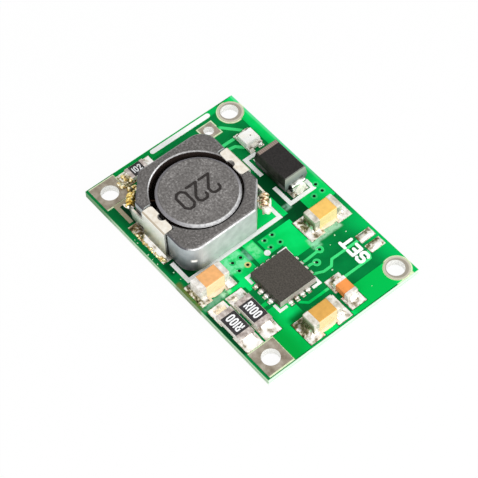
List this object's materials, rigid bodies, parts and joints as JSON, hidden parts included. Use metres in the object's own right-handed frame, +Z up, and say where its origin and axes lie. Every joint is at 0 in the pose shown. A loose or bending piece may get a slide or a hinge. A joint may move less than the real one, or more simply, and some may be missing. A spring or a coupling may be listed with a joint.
{
  "type": "battery charger module",
  "caption": "Small circuit board module that charges a lithium cell, with a shielded power inductor, diode, controller chip, indicator and corner wire holes.",
  "frame": {"origin": "centre of the board's outline on its flat underside", "axes": "+X along the long side from the inductor to the controller, +Y along the short side towards the diode, +Z up out of the component side"},
  "size_m": [0.0256, 0.017, 0.0046],
  "materials": {
    "board": "glossy mask",
    "masked_copper": "glossy mask",
    "ink": "matt",
    "tinned_land": "dull tin",
    "gilt": "satin",
    "solder": "bright",
    "ferrite": "speckled satin",
    "ferrite_drum": "speckled satin",
    "copper_wire": "bright",
    "tinned_sheet": "satin",
    "diode_mould": "matt",
    "controller_mould": "matt",
    "end_metal": "satin",
    "led_base": "matt",
    "led_lens": "milky",
    "tan_ceramic": "satin",
    "orange_ceramic": "satin",
    "alumina": "matt",
    "resistor_coat": "gloss"
  },
  "bodies": {
    "root": {"circuit_board": "board", "top_copper": "masked_copper", "component_outlines": "ink", "solder_lands": "tinned_land", "via_barrels": "gilt", "round_pad_left": "tinned_land", "round_pad_right": "tinned_land", "square_pad_left": "tinned_land", "square_pad_right": "tinned_land", "small_wire_pad": "tinned_land", "jumper_solder": "solder", "shield_core": "ferrite", "drum_core": "ferrite_drum", "coil_winding": "copper_wire", "front_clip": "tinned_sheet", "back_clip": "tinned_sheet", "front_wire_end": "copper_wire", "back_wire_end": "copper_wire", "inductor_solder": "solder", "diode_body": "diode_mould", "cathode_lead": "tinned_sheet", "anode_lead": "tinned_sheet", "diode_solder": "solder", "controller_body": "controller_mould", "controller_leads": "end_metal", "controller_heat_pad": "end_metal", "controller_solder": "solder", "led_base": "led_base", "led_terminals": "gilt", "led_dies": "gilt", "led_lens": "led_lens", "led_solder": "solder", "upper_capacitor_body": "tan_ceramic", "upper_capacitor_ends": "end_metal", "right_capacitor_body": "tan_ceramic", "right_capacitor_ends": "end_metal", "lower_capacitor_body": "orange_ceramic", "lower_capacitor_ends": "end_metal", "small_capacitor_body": "orange_ceramic", "small_capacitor_ends": "end_metal", "capacitor_solder": "solder", "sense_upper_plate": "alumina", "sense_upper_coat": "resistor_coat", "sense_upper_ends": "end_metal", "sense_lower_plate": "alumina", "sense_lower_coat": "resistor_coat", "sense_lower_ends": "end_metal", "led_resistor_plate": "alumina", "led_resistor_coat": "resistor_coat", "led_resistor_ends": "end_metal", "resistor_solder": "solder"}
  },
  "joints": []
}
